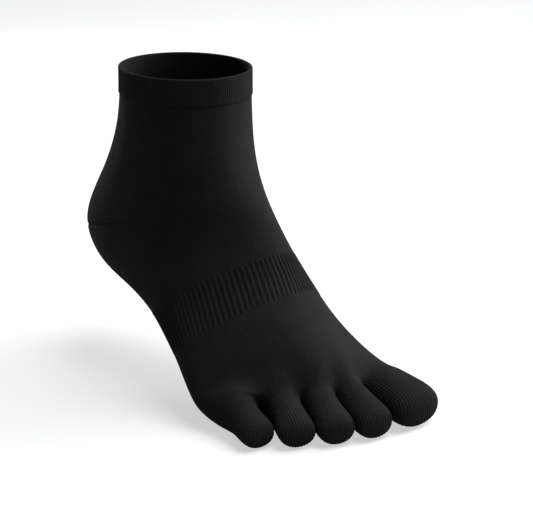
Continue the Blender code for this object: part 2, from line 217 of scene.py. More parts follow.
@dataclass
class Cage:
    """The coarse cage of sections that shapes the whole sock."""
    sizes: SockSizes = SIZES
    sweep_slope: float = 0.6
    inner_drop: float = 0.5
    edge_upper: float = 0.81
    edge_middle: float = 0.43
    edge_lower: float = 0.10
    edge_inward: float = 0.042
    tip_along: float = 1.03
    tip_height: float = 0.44
    names: list[str] = field(default_factory=list)
    rows: list[list[Vector]] = field(default_factory=list)

    def __post_init__(self) -> None:
        """Lay out the sections from the rim down to the front edge."""
        self.edge = self.front_edge()
        self.lay_leg()
        self.lay_foot()
        self.names.append("front_edge")
        self.rows.append(self.edge)

    def section(self, front: tuple[float, float], back: tuple[float, float], lateral: float, medial: float,
                row: Optional[FootRow] = None) -> list[Vector]:
        """Closed section through a front and a back point.

        Args:
            front: x and z of the front point.
            back: x and z of the back point.
            lateral: half width on the little toe's side.
            medial: half width on the big toe's side.
            row: the foot's row, for its lean, drop and hollow.

        Returns:
            One point for each column, the front one first.
        """
        crest, drop, blunt, hollow, sweep = row[7:12] if row else (0.0, 0.0, 1.0, 0.0, 0.0)
        middle = ((front[0] + back[0]) / 2, (front[1] + back[1]) / 2)
        half = ((front[0] - back[0]) / 2, (front[1] - back[1]) / 2)
        points = []
        for k in range(COLUMNS):
            angle = TURN * k / COLUMNS
            up, out = math.cos(angle), math.sin(angle)
            height = math.copysign(abs(up) ** (1.0 if up > 0 else blunt), up)
            side = medial if out > 0 else lateral
            y = out * side + crest * (lateral + medial) / 2 * max(0.0, height)
            height -= drop * out * out * (self.inner_drop if out > 0 else 1.0)
            x = middle[0] + half[0] * height + sweep * self.sweep_slope * min(0.0, y)
            z = middle[1] + half[1] * height
            if up < 0 < out:
                z += 2 * hollow * self.sizes.ball_width * -up * out
            points.append(Vector((x, y, z)))
        return points

    def root_top(self, index: int) -> float:
        """Height of a toe's top at its root."""
        return TOE_ROWS[index].root * self.sizes.root_height

    def front_edge(self) -> list[Vector]:
        """Front edge of the body: the line where the toes grow, with a dip at each web."""
        size = self.sizes
        ends = [(y * size.ball_width, x * size.sole_length) for y, x in ROOT_ENDS]
        edge = [Vector()] * COLUMNS
        for i in range(5):
            y = (ends[i][0] + ends[i + 1][0]) / 2
            x = (ends[i][1] + ends[i + 1][1]) / 2
            edge[TOP_COLUMNS[i]] = Vector((x + size.under_set_back / 3, y, self.root_top(i)))
            edge[UNDER_COLUMNS[i]] = Vector((x - size.under_set_back, y, -size.pad_drop))
        for i in range(4):
            y, x = ends[i + 1]
            top = (self.root_top(i) + self.root_top(i + 1)) / 2
            edge[WEB_TOPS[i]] = Vector((x, y, top - size.web_dip))
            edge[WEB_UNDERS[i]] = Vector((x - size.under_set_back, y, size.web_under))
        for middle, upper, lower, (y, x), toe in ((18, 19, 17, ends[0], 0), (6, 5, 7, ends[5], 4)):
            inward = self.edge_inward * size.ball_width * (1 if toe == 0 else -1)
            top = self.root_top(toe)
            edge[middle] = Vector((x, y, self.edge_middle * top))
            edge[upper] = Vector((x + size.under_set_back / 2, y + inward, self.edge_upper * top))
            edge[lower] = Vector((x - size.under_set_back / 2, y + inward, self.edge_lower * top))
        return edge

    def lay_leg(self) -> None:
        """Sections of the cuff and the leg."""
        size, ankle = self.sizes, FOOT_ROWS[0]
        half, width = size.opening_length / 2, size.opening_width / 2
        for name, z in (("rim", size.rim_centre.z), ("cuff_low", size.rim_centre.z - size.cuff_height)):
            cuff_front, cuff_back = (size.opening_centre + half, z), (size.opening_centre - half, z)
            self.names.append(name)
            self.rows.append(self.section(cuff_front, cuff_back, width, width))
        ankle_front = (ankle.front_x * size.sole_length, ankle.front_z * size.ankle_height)
        ankle_back = (ankle.back_x * size.sole_length, ankle.back_z * size.ankle_height)
        for row in LEG_ROWS:
            front = (mix(cuff_front[0], ankle_front[0], row.front_out),
                     mix(cuff_front[1], ankle_front[1], row.front_down))
            back = (mix(cuff_back[0], ankle_back[0], row.back_out),
                    mix(cuff_back[1], ankle_back[1], row.back_down))
            lateral = mix(width, ankle.lateral * size.ball_width, row.front_down)
            medial = mix(width, ankle.medial * size.ball_width, row.front_down)
            self.names.append(row.name)
            self.rows.append(self.section(front, back, lateral, medial))

    def lay_foot(self) -> None:
        """Sections of the foot, with their columns fanned towards the toes."""
        size = self.sizes
        low, high = ROOT_ENDS[0][0] * size.ball_width, ROOT_ENDS[-1][0] * size.ball_width
        for row in FOOT_ROWS:
            lateral, medial = row.lateral * size.ball_width, row.medial * size.ball_width
            points = self.section((row.front_x * size.sole_length, row.front_z * size.ankle_height),
                                  (row.back_x * size.sole_length, row.back_z * size.ankle_height),
                                  lateral, medial, row)
            for point, target in zip(points, self.edge):
                across = (target.y - low) / (high - low)
                point.y = mix(point.y, mix(-lateral, medial, across), row.fan)
            self.names.append(row.name)
            self.rows.append(points)

    def toe_root(self, index: int) -> list[int]:
        """Front edge columns of a toe's root from its top round by the big toe's side; below 0 is a web."""
        if index == 0:
            return [20, 21, -1, 15, 16, 17, 18, 19]
        if index == 4:
            return [4, 5, 6, 7, 8, 9, -4, 3]
        return [TOP_COLUMNS[index], WEB_TOPS[index], -1 - index, WEB_UNDERS[index],
                UNDER_COLUMNS[index], WEB_UNDERS[index - 1], -index, WEB_TOPS[index - 1]]

    def web(self, index: int) -> Vector:
        """The point between two toes, half way down their web."""
        return (self.edge[WEB_TOPS[index]] + self.edge[WEB_UNDERS[index]]) / 2


@dataclass
class ToeTube:
    """One toe of the cage: its axis, its rings and its tip."""
    cage: Cage
    index: int

    def __post_init__(self) -> None:
        """Work out the toe's axis from its root and the place of its tip."""
        size = self.cage.sizes
        self.row = TOE_ROWS[self.index]
        self.columns = self.cage.toe_root(self.index)
        self.root = [self.cage.web(-1 - c) if c < 0 else self.cage.edge[c] for c in self.columns]
        self.start = Vector(((self.root[0].x + self.root[4].x) / 2, (self.root[2].y + self.root[6].y) / 2))
        self.reach = self.row.length * size.toe_length
        sideways = self.row.tip_y * size.ball_width - self.start.y
        forward = math.sqrt(max(self.reach ** 2 - sideways ** 2, 0.0))
        self.along = Vector((forward, sideways)).normalized()
        self.across = Vector((-self.along.y, self.along.x))
        self.height = self.row.height * size.toe_height
        self.half_width = self.row.width * size.ball_width / 2

    def ring_ends(self, ring: ToeRing) -> tuple[float, float]:
        """Top and underside heights of a ring."""
        return mix(self.height * ring.top, self.root[0].z, ring.root_share), self.height * ring.under

    def rings(self) -> list[list[Vector]]:
        """Points of each ring, set out so that the smoothed tube has the toe's own sizes."""
        spline_shrink = 3 / (2 + math.cos(TURN / TOE_SIDES))
        made = []
        for ring in TOE_RINGS:
            centre = self.start + self.along * self.reach * ring.along
            top, under = self.ring_ends(ring)
            points = []
            for k in range(TOE_SIDES):
                angle = TURN * k / TOE_SIDES
                side = centre + self.across * math.sin(angle) * self.half_width * ring.width * spline_shrink
                z = (top + under) / 2 + math.cos(angle) * (top - under) / 2 * spline_shrink
                points.append(Vector((side.x, side.y, z)))
            made.append(points)
        return made

    def tip(self) -> Vector:
        """The cage's point at the end of the toe."""
        end = self.start + self.along * self.reach * self.cage.tip_along
        return Vector((end.x, end.y, self.height * self.cage.tip_height))


@dataclass
class Skin:
    """The smoothed cage as arrays: the body as a lattice of rows and columns, the toes as loose quads."""
    points: np.ndarray
    normals: np.ndarray
    quads: np.ndarray
    owners: np.ndarray
    body: np.ndarray
    fineness: int

    def sample(self, rows: np.ndarray, columns: np.ndarray) -> tuple[np.ndarray, np.ndarray]:
        """Points and normals of the body at any rows and columns of the cage.

        Args:
            rows: cage rows, with fractions.
            columns: cage columns, with fractions.

        Returns:
            Points and normals, each as rows by columns by 3.
        """
        high, wide = self.body.shape
        r = np.clip(rows * self.fineness, 0, high - 1)
        c = columns * self.fineness
        r0 = np.minimum(np.floor(r).astype(int), high - 2)
        c0 = np.floor(c).astype(int)
        fr, fc = (r - r0)[:, None, None], (c - c0)[None, :, None]
        c0, c1 = c0 % wide, (c0 + 1) % wide
        mixed = []
        for values in (self.points, self.normals):
            upper = values[self.body[r0][:, c0]] * (1 - fc) + values[self.body[r0][:, c1]] * fc
            lower = values[self.body[r0 + 1][:, c0]] * (1 - fc) + values[self.body[r0 + 1][:, c1]] * fc
            mixed.append(upper * (1 - fr) + lower * fr)
        points, normals = mixed
        return points, normals / np.linalg.norm(normals, axis=2, keepdims=True)


@dataclass
class SkinMaker:
    """Turns the cage into a smooth skin with a Subdivision Surface."""
    cage: Cage
    toes: list[ToeTube]

    def cage_mesh(self) -> bpy.types.Mesh:
        """The cage as a mesh, its faces marked 0 on the body and from 1 on the toes."""
        lift = self.cage.sizes.rim_centre
        points = [point - lift for row in self.cage.rows for point in row]
        faces, marks, places = [], [], []
        for r in range(len(self.cage.rows) - 1):
            for k in range(COLUMNS):
                after = (k + 1) % COLUMNS
                faces.append((r * COLUMNS + k, (r + 1) * COLUMNS + k,
                              (r + 1) * COLUMNS + after, r * COLUMNS + after))
                marks.append(0)
                places += [(k, r), (k, r + 1), (k + 1, r + 1), (k + 1, r)]
        edge = (len(self.cage.rows) - 1) * COLUMNS
        webs = len(points)
        points += [self.cage.web(index) - lift for index in range(4)]
        for index, toe in enumerate(self.toes):
            before = [webs - 1 - c if c < 0 else edge + c for c in toe.columns]
            for ring in toe.rings():
                now = list(range(len(points), len(points) + TOE_SIDES))
                points += [point - lift for point in ring]
                for k in range(TOE_SIDES):
                    after = (k + 1) % TOE_SIDES
                    faces.append((before[k], now[k], now[after], before[after]))
                before = now
            end = len(points)
            points.append(toe.tip() - lift)
            for k in range(0, TOE_SIDES, 2):
                faces.append((before[k], end, before[(k + 2) % TOE_SIDES], before[k + 1]))
            marks += [index + 1] * (len(faces) - len(marks))
        places += [(0, 0)] * (4 * len(faces) - len(places))
        mesh = bpy.data.meshes.new("sock_cage")
        mesh.from_pydata(points, [], faces)
        mesh.polygons.foreach_set("material_index", marks)
        layer = mesh.uv_layers.new(name="place")
        layer.data.foreach_set("uv", np.array(places, float).ravel())
        return mesh

    def smooth(self, levels: int) -> Skin:
        """Smooth the cage and read it back.

        Args:
            levels: how many times each face is divided.

        Returns:
            The skin at that fineness.
        """
        form = bpy.data.objects.new("sock_cage", self.cage_mesh())
        bpy.context.scene.collection.objects.link(form)
        modifier = form.modifiers.new("skin", "SUBSURF")
        modifier.levels = modifier.render_levels = levels
        modifier.uv_smooth = "NONE"
        bpy.context.view_layer.update()
        mesh = form.evaluated_get(bpy.context.evaluated_depsgraph_get()).to_mesh()
        points = np.empty(len(mesh.vertices) * 3)
        normals = np.empty(len(mesh.vertices) * 3)
        corners = np.empty(len(mesh.loops), int)
        owners = np.empty(len(mesh.polygons), int)
        places = np.empty(len(mesh.loops) * 2)
        mesh.vertices.foreach_get("co", points)
        mesh.vertex_normals.foreach_get("vector", normals)
        mesh.loops.foreach_get("vertex_index", corners)
        mesh.polygons.foreach_get("material_index", owners)
        mesh.uv_layers["place"].data.foreach_get("uv", places)
        fineness = 2 ** levels
        quads, places = corners.reshape(-1, 4), places.reshape(-1, 4, 2)
        spots = np.rint(places[owners == 0] * fineness).astype(int)
        body = np.empty(((len(self.cage.rows) - 1) * fineness + 1, COLUMNS * fineness), int)
        body[spots[..., 1], spots[..., 0] % (COLUMNS * fineness)] = quads[owners == 0]
        cage_mesh = form.data
        bpy.data.objects.remove(form)
        bpy.data.meshes.remove(cage_mesh)
        return Skin(points.reshape(-1, 3), normals.reshape(-1, 3), quads, owners, body, fineness)


@dataclass
class Patch:
    """A stretch of knit as arrays: stitch places are in wales and courses, one for each face corner."""
    points: np.ndarray
    faces: np.ndarray
    stitch: np.ndarray
    side: int = 0
    ribbing: Optional[np.ndarray] = None
    # Painted shade along a seam's groove, from 0 to 1, which darkens the colour there
    seam: Optional[np.ndarray] = None


def lattice(points: np.ndarray, stitch: np.ndarray, side: int = 0,
            seam: Optional[np.ndarray] = None) -> Patch:
    """A closed band of quads from a lattice.

    Args:
        points: rows by columns by 3, closed round its columns.
        stitch: rows by columns + 1 by 2, the stitch place at each point.
        side: the material's index, 0 for the outside of the knit.
        seam: rows by columns, 1 where painted shade darkens the knit along a seam's groove and 0 away from
            it.

    Returns:
        The patch, facing outwards when columns run as the cage's do.
    """
    high, wide = points.shape[:2]
    r, c = np.meshgrid(np.arange(high - 1), np.arange(wide), indexing="ij")
    after = (c + 1) % wide
    faces = np.stack([r * wide + c, (r + 1) * wide + c, (r + 1) * wide + after, r * wide + after], axis=-1)
    corners = np.stack([stitch[r, c], stitch[r + 1, c], stitch[r + 1, c + 1], stitch[r, c + 1]], axis=2)
    return Patch(points.reshape(-1, 3), faces.reshape(-1, 4), corners.reshape(-1, 4, 2), side,
                 seam=None if seam is None else seam.ravel())


def turned(patch: Patch) -> Patch:
    """The patch facing the other way."""
    return replace(patch, faces=patch.faces[:, ::-1], stitch=patch.stitch[:, ::-1])


def make_piece(name: str, patches: list[Patch], finishes: list[bpy.types.Material]) -> bpy.types.Object:
    """Join patches into one smooth mesh.

    Args:
        name: the piece's name.
        patches: its stretches of knit.
        finishes: the materials, in the order of the patches' sides.

    Returns:
        The object, linked to the scene.
    """
    starts = np.cumsum([0] + [len(patch.points) for patch in patches[:-1]])
    faces = np.concatenate([patch.faces + start for patch, start in zip(patches, starts)])
    mesh = bpy.data.meshes.new(name)
    mesh.vertices.add(sum(len(patch.points) for patch in patches))
    mesh.vertices.foreach_set("co", np.concatenate([patch.points for patch in patches]).ravel())
    mesh.loops.add(faces.size)
    mesh.loops.foreach_set("vertex_index", faces.ravel())
    mesh.polygons.add(len(faces))
    mesh.polygons.foreach_set("loop_start", np.arange(len(faces)) * 4)
    sides = np.concatenate([np.full(len(patch.faces), patch.side) for patch in patches])
    mesh.polygons.foreach_set("material_index", sides)
    mesh.update(calc_edges=True)
    layer = mesh.uv_layers.new(name="stitch")
    layer.data.foreach_set("uv", np.concatenate([patch.stitch for patch in patches]).ravel())
    for label, plain in (("ribbing", 1.0), ("seam", 0.0)):
        kept = [getattr(patch, label) for patch in patches]
        values = [np.full(len(patch.points), plain) if value is None else value
                  for patch, value in zip(patches, kept)]
        mesh.attributes.new(label, "FLOAT", "POINT").data.foreach_set("value", np.concatenate(values))
    mesh.shade_smooth()
    for finish in finishes:
        mesh.materials.append(finish)
    mesh.validate()
    piece = bpy.data.objects.new(name, mesh)
    bpy.context.scene.collection.objects.link(piece)
    return piece


Value = Union[float, bpy.types.NodeSocket]


class Bench:
    """Adds nodes to one node tree, and joins them up."""

    def __init__(self, tree: bpy.types.NodeTree) -> None:
        """Take the tree to work on."""
        self.tree = tree

    def node(self, kind: str, **inputs: Value) -> bpy.types.Node:
        """Add a node and set or join its inputs, named with underscores for spaces."""
        made = self.tree.nodes.new(kind)
        for name, value in inputs.items():
            self.feed(made.inputs[name.replace("_", " ")], value)
        return made

    def feed(self, socket: bpy.types.NodeSocket, value: Value) -> None:
        """Join a socket to another, or set its value."""
        if isinstance(value, bpy.types.NodeSocket):
            self.tree.links.new(value, socket)
        else:
            socket.default_value = value

    def math(self, operation: str, first: Value, second: Value = 0.0,
             third: Value = 0.0) -> bpy.types.NodeSocket:
        """Output of a Math node."""
        made = self.tree.nodes.new("ShaderNodeMath")
        made.operation = operation
        for socket, value in zip(made.inputs, (first, second, third)):
            self.feed(socket, value)
        return made.outputs[0]

    def blend(self, share: Value, low: Value, high: Value) -> bpy.types.NodeSocket:
        """Colour a share of the way from low to high."""
        made = self.tree.nodes.new("ShaderNodeMix")
        made.data_type = "RGBA"
        for index, value in ((0, share), (6, low), (7, high)):
            self.feed(made.inputs[index], value)
        return made.outputs[2]


GroupParts = tuple[bpy.types.NodeTree, Bench, bpy.types.Node, bpy.types.Node]

# Noise scales, in features for each metre of the sock.
SWAY_SCALE = 160.0       # wandering of the wales
FUZZ_SCALE = 780.0       # fuzz that stands off the surface
FADING_SCALE = 70.0      # stretches where the knit's lines come and go
FIBRE_SCALE = 1100.0     # pale fibres in the yarn
PATCH_SCALE = 90.0       # broader mottling
FIBRE_SHARE = 0.7        # of the mottling, with the patches as the rest
GAP_SHARE = 0.35         # of the painted shade, with the painted shade of the valleys as the rest
LEAST_ROUGHNESS = 0.78
ROUGHNESS_SPREAD = 0.16


def new_group(name: str, inputs: dict[str, str], outputs: dict[str, str]) -> GroupParts:
    """A shader node group with named sockets.

    Args:
        name: the group's name.
        inputs: socket types by name, such as Vector or Float.
        outputs: the same for what it puts out.

    Returns:
        The tree, a bench on it, its input node and its output node.
    """
    tree = bpy.data.node_groups.new(name, "ShaderNodeTree")
    for sockets, way in ((inputs, "INPUT"), (outputs, "OUTPUT")):
        for label, kind in sockets.items():
            tree.interface.new_socket(label, in_out=way, socket_type="NodeSocket" + kind)
    bench = Bench(tree)
    return tree, bench, bench.node("NodeGroupInput"), bench.node("NodeGroupOutput")


def loops_group() -> bpy.types.NodeTree:
    """Knitted loops: each wale is a column of nested V stitches."""
    tree, bench, given, put = new_group(
        "knit_loops", {"Stitch": "Vector", "Wales": "Float", "Courses": "Float"},
        {"Height": "Float", "Gap": "Float"})
    split = bench.node("ShaderNodeSeparateXYZ", Vector=given.outputs["Stitch"])
    wale = bench.math("FRACT", bench.math("MULTIPLY", split.outputs["X"], given.outputs["Wales"]))
    leg = bench.math("ABSOLUTE", bench.math("MULTIPLY_ADD", wale, 2.0, -1.0))
    course = bench.math("MULTIPLY", split.outputs["Y"], given.outputs["Courses"])
    nested = bench.math("FRACT", bench.math("MULTIPLY_ADD", leg, 0.8, course))
    away = bench.math("ABSOLUTE", bench.math("MULTIPLY_ADD", nested, 2.0, -1.0))
    strand = bench.math("SUBTRACT", 1.0, bench.math("POWER", away, 2.0))
    beside = bench.math("MULTIPLY_ADD", leg, 2.0, -1.0)
    body = bench.math("SUBTRACT", 1.0, bench.math("POWER", bench.math("ABSOLUTE", beside), 2.0))
    height = bench.math("MULTIPLY", bench.math("MULTIPLY_ADD", strand, 0.6, 0.4), body)
    bench.feed(put.inputs["Height"], height)
    # Gap marks where painted shade darkens the colour between the loops
    bench.feed(put.inputs["Gap"], bench.math("SUBTRACT", 1.0, height))
    return tree


def ribs_group() -> bpy.types.NodeTree:
    """The valleys between raised ribs, one for each whole number of the stitch place's x."""
    tree, bench, given, put = new_group(
        "rib_valleys", {"Stitch": "Vector", "Ribs": "Float", "Narrow": "Float"}, {"Valley": "Float"})
    split = bench.node("ShaderNodeSeparateXYZ", Vector=given.outputs["Stitch"])
    turn = bench.math("MULTIPLY", bench.math("MULTIPLY", split.outputs["X"], given.outputs["Ribs"]), math.pi)
    valley = bench.math("POWER", bench.math("ABSOLUTE", bench.math("SINE", turn)), given.outputs["Narrow"])
    bench.feed(put.inputs["Valley"], valley)
    return tree


def uneven_group() -> bpy.types.NodeTree:
    """What makes worn knit uneven: wales that wander, lines that come and go, and a fuzz of fibres."""
    tree, bench, given, put = new_group(
        "uneven_knit", {"Stitch": "Vector", "Wander": "Float"},
        {"Stitch": "Vector", "Fuzz": "Float", "Strength": "Float"})
    place = bench.node("ShaderNodeTexCoord").outputs["Object"]
    sway = bench.node("ShaderNodeTexNoise", Vector=place, Scale=SWAY_SCALE, Detail=2.0).outputs["Color"]
    centred = bench.node("ShaderNodeVectorMath")
    centred.operation = "SUBTRACT"
    bench.feed(centred.inputs[0], sway)
    centred.inputs[1].default_value = (0.5, 0.5, 0.5)
    reach = bench.node("ShaderNodeVectorMath")
    reach.operation = "SCALE"
    bench.feed(reach.inputs[0], centred.outputs["Vector"])
    bench.feed(reach.inputs["Scale"], given.outputs["Wander"])
    moved = bench.node("ShaderNodeVectorMath")
    moved.operation = "ADD"
    bench.feed(moved.inputs[0], given.outputs["Stitch"])
    bench.feed(moved.inputs[1], reach.outputs["Vector"])
    bench.feed(put.inputs["Stitch"], moved.outputs["Vector"])
    fuzz = bench.node("ShaderNodeTexNoise", Vector=place, Scale=FUZZ_SCALE, Detail=3.0, Roughness=0.6)
    bench.feed(put.inputs["Fuzz"], fuzz.outputs["Fac"])
    slow = bench.node("ShaderNodeTexNoise", Vector=place, Scale=FADING_SCALE, Detail=2.0).outputs["Fac"]
    shown = bench.node("ShaderNodeMapRange", Value=slow)
    for name, value in (("From Min", 0.38), ("From Max", 0.62), ("To Min", 0.0), ("To Max", 1.0)):
        shown.inputs[name].default_value = value
    bench.feed(put.inputs["Strength"], shown.outputs["Result"])
    return tree


def yarn_group() -> bpy.types.NodeTree:
    """Colour and roughness of the yarn: mottled a little, with painted shade darkening it down in the gaps
    and valleys.
    """
    tree, bench, given, put = new_group(
        "yarn_mottle_and_painted_shade", {"Yarn": "Color", "Pale": "Color", "Dark": "Color", "Gap": "Float", "Valley": "Float"},
        {"Color": "Color", "Roughness": "Float"})
    place = bench.node("ShaderNodeTexCoord").outputs["Object"]
    fibres = bench.node("ShaderNodeTexNoise", Vector=place, Scale=FIBRE_SCALE, Detail=2.0).outputs["Fac"]
    patches = bench.node("ShaderNodeTexNoise", Vector=place, Scale=PATCH_SCALE, Detail=3.0).outputs["Fac"]
    mottle = bench.math("MULTIPLY_ADD", fibres, FIBRE_SHARE,
                        bench.math("MULTIPLY", patches, 1.0 - FIBRE_SHARE))
    pale = bench.blend(mottle, given.outputs["Yarn"], given.outputs["Pale"])
    # Painted shade: the colour is mixed towards the dark tone in the gaps between loops and in the rib
    # valleys
    painted_shade_share = bench.math("MULTIPLY_ADD", given.outputs["Gap"], GAP_SHARE,
                      bench.math("MULTIPLY", given.outputs["Valley"], 1.0 - GAP_SHARE))
    bench.feed(put.inputs["Color"], bench.blend(painted_shade_share, pale, given.outputs["Dark"]))
    roughness = bench.math("MULTIPLY_ADD", fibres, ROUGHNESS_SPREAD, LEAST_ROUGHNESS)
    bench.feed(put.inputs["Roughness"], roughness)
    return tree


Colour = tuple[float, float, float, float]


@dataclass(frozen=True)
class KnitFinish:
    """One knit's finish. Wales and courses are loops for each unit of the stitch place."""
    name: str
    yarn: Colour
    pale: Colour
    # Colour of the painted shade down in the gaps between loops and in the rib valleys
    painted_shade_colour: Colour
    wales: float
    courses: float
    ribs: float
    narrow: float
    # How strongly the rib valleys are darkened with painted shade
    valley_shade: float
    loop_relief: float
    rib_relief: float
    fuzz_relief: float = 0.00010
    line_fade: float = 0.0
    wander: float = 0.0
    sheen: float = 0.02
    sheen_roughness: float = 0.45
    specular: float = 0.08

    def make(self, groups: dict[str, bpy.types.NodeTree]) -> bpy.types.Material:
        """Build the material.

        Args:
            groups: the shared node groups by name.

        Returns:
            The material.
        """
        material = bpy.data.materials.new(self.name)
        material.use_nodes = True
        bench = Bench(material.node_tree)
        shader = material.node_tree.nodes["Principled BSDF"]
        place = bench.node("ShaderNodeUVMap")
        place.uv_map = "stitch"
        uneven = self.place_group(bench, groups["uneven_knit"], Stitch=place.outputs["UV"],
                                  Wander=self.wander)
        stitch = uneven.outputs["Stitch"]
        loops = self.place_group(bench, groups["knit_loops"], Stitch=stitch, Wales=self.wales,
                                 Courses=self.courses)
        ribs = self.place_group(bench, groups["rib_valleys"], Stitch=stitch, Ribs=self.ribs,
                                Narrow=self.narrow)
        shown, seam = (self.point_value(bench, name) for name in ("ribbing", "seam"))
        fading = bench.math("MULTIPLY_ADD", uneven.outputs["Strength"], self.line_fade, 1.0 - self.line_fade)
        line = bench.math("MULTIPLY", bench.math("MULTIPLY", ribs.outputs["Valley"], shown), fading)
        # Painted shade: the colour darkens in the rib valleys and along the seam's groove
        valley = bench.math("MAXIMUM", bench.math("MULTIPLY", line, self.valley_shade), seam)
        shade = self.place_group(bench, groups["yarn_mottle_and_painted_shade"], Yarn=self.yarn, Pale=self.pale, Dark=self.painted_shade_colour,
                                 Gap=loops.outputs["Gap"], Valley=valley)
        height = bench.math("MULTIPLY_ADD", loops.outputs["Height"], self.loop_relief,
                            bench.math("MULTIPLY", line, -self.rib_relief))
        height = bench.math("MULTIPLY_ADD", uneven.outputs["Fuzz"], self.fuzz_relief, height)
        bump = bench.node("ShaderNodeBump", Height=height, Strength=1.0, Distance=1.0)
        bench.feed(shader.inputs["Base Color"], shade.outputs["Color"])
        bench.feed(shader.inputs["Roughness"], shade.outputs["Roughness"])
        bench.feed(shader.inputs["Normal"], bump.outputs["Normal"])
        shader.inputs["Specular IOR Level"].default_value = self.specular
        shader.inputs["Sheen Weight"].default_value = self.sheen
        shader.inputs["Sheen Roughness"].default_value = self.sheen_roughness
        return material

    def point_value(self, bench: Bench, name: str) -> bpy.types.NodeSocket:
        """A number that the mesh keeps at its points."""
        kept = bench.node("ShaderNodeAttribute")
        kept.attribute_name = name
        return kept.outputs["Fac"]

    def place_group(self, bench: Bench, tree: bpy.types.NodeTree, **inputs: Value) -> bpy.types.Node:
        """Place a shared group in the material with this finish's values."""
        made = bench.tree.nodes.new("ShaderNodeGroup")
        made.node_tree = tree
        for name, value in inputs.items():
            bench.feed(made.inputs[name], value)
        return made


CHARCOAL = (0.0050, 0.0050, 0.0052, 1.0)
PALE_CHARCOAL = (0.0260, 0.0260, 0.0268, 1.0)
# Painted shade: the tone that gaps between loops, rib valleys and the seam's groove are darkened towards
PAINTED_GAP_SHADE = (0.0030, 0.0030, 0.0032, 1.0)

CUFF_KNIT = KnitFinish("cuff_knit", CHARCOAL, PALE_CHARCOAL, PAINTED_GAP_SHADE, wales=1.0, courses=1.0, ribs=1.0,
                       narrow=2.0, valley_shade=0.4, loop_relief=0.00008, rib_relief=0.00007,
                       line_fade=0.5, wander=0.25)
PLAIN_KNIT = KnitFinish("plain_knit", CHARCOAL, PALE_CHARCOAL, PAINTED_GAP_SHADE, wales=1.0, courses=1.0, ribs=1.0,
                        narrow=1.5, valley_shade=0.3, loop_relief=0.00012, rib_relief=0.00012,
                        fuzz_relief=0.00036, line_fade=0.85, wander=0.6)
BAND_KNIT = KnitFinish("band_knit", CHARCOAL, PALE_CHARCOAL, PAINTED_GAP_SHADE, wales=2.0, courses=1.0, ribs=1.0,
                       narrow=3.0, valley_shade=0.35, loop_relief=0.00012, rib_relief=0.00006,
                       fuzz_relief=0.00016)
TOE_KNIT = KnitFinish("toe_knit", CHARCOAL, PALE_CHARCOAL, PAINTED_GAP_SHADE, wales=1.0, courses=1.0, ribs=1.0,
                      narrow=4.0, valley_shade=0.5, loop_relief=0.00008, rib_relief=0.00012,
                      line_fade=0.6, wander=0.35)
INSIDE_KNIT = KnitFinish("inside_knit", CHARCOAL, PALE_CHARCOAL, PAINTED_GAP_SHADE, wales=1.0, courses=0.5, ribs=1.0,
                         narrow=2.0, valley_shade=0.2, loop_relief=0.00022, rib_relief=0.0,
                         fuzz_relief=0.00020, wander=0.5)


@dataclass
class Knitting:
    """Where stitches lie: wales follow the cage's columns, and courses are level on the leg and square to
    the foot below the heel's gore line."""
    skin: Skin
    cage: Cage
    wales_per_column: float = 6.5
    course_pitch: float = 0.0011

    def __post_init__(self) -> None:
        """Find the foot's direction and where its courses take over from the leg's."""
        self.gore_row = self.cage.names.index("heel_back")
        rows = np.array([self.gore_row, len(self.cage.rows) - 1], float)
        points, _ = self.skin.sample(rows, np.arange(COLUMNS, dtype=float))
        way = points[1].mean(axis=0) - points[0].mean(axis=0)
        self.foot_way = way / np.linalg.norm(way)
        self.gore_front = points[0, 0]

    def row(self, name: str) -> int:
        """Number of a named row of the cage."""
        return self.cage.names.index(name)

    def courses(self, points: np.ndarray, on_foot: bool) -> np.ndarray:
        """Course number at each point.

        Args:
            points: rows by columns by 3.
            on_foot: True below the gore line, where courses are square to the foot.

        Returns:
            Rows by columns, in courses.
        """
        if not on_foot:
            return -points[..., 2] / self.course_pitch
        start = -self.gore_front[2] / self.course_pitch
        return start + (points - self.gore_front) @ self.foot_way / self.course_pitch

    def stitch(self, points: np.ndarray, columns: np.ndarray, on_foot: bool, per_column: float) -> np.ndarray:
        """Stitch places of a lattice.

        Args:
            points: rows by columns by 3.
            columns: the cage column of each of them.
            on_foot: as in courses.
            per_column: wales or ribs for each cage column.

        Returns:
            Rows by columns + 1 by 2: the last column repeats the first, a whole turn on.
        """
        course = self.courses(points, on_foot)
        course = np.concatenate([course, course[:, :1]], axis=1)
        wale = np.append(columns, columns[0] + COLUMNS) * per_column
        return np.stack([np.broadcast_to(wale, course.shape), course], axis=-1)


def dress(piece: bpy.types.Object, node: str) -> None:
    """Ride a piece on the sock's body in place of its node.

    Args:
        piece: the finished piece.
        node: the node that it stands for.
    """
    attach(piece, "root")
    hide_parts(node)
    log.info("%s: %d faces", piece.name, len(piece.data.polygons))


